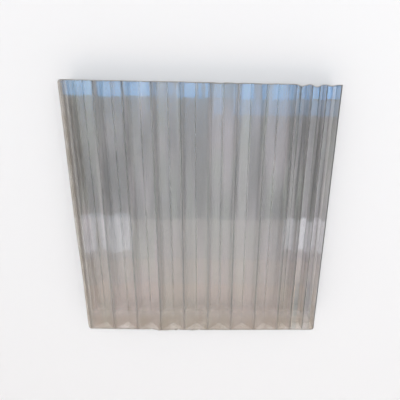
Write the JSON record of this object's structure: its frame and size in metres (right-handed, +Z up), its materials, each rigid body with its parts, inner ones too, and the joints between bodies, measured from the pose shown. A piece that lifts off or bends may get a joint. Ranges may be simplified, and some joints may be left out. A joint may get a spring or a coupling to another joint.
{
  "type": "multiwall polycarbonate sheet",
  "caption": "Clear flat polycarbonate glazing sheet, hollow, with two skins, a middle wall, upright ribs and crossed diagonal webs; one side sawn, one side closed.",
  "frame": {"origin": "middle of the lower skin, on the surface the sheet lies on", "axes": "+X across the ribs towards the closed side, +Y along the flutes, +Z up through the thickness"},
  "size_m": [0.244, 0.252, 0.025],
  "materials": {
    "clear_polycarbonate": "clear, glossy, with fine extrusion lines along the flutes"
  },
  "bodies": {
    "root": {"multiwall_sheet": "clear_polycarbonate"}
  },
  "joints": []
}
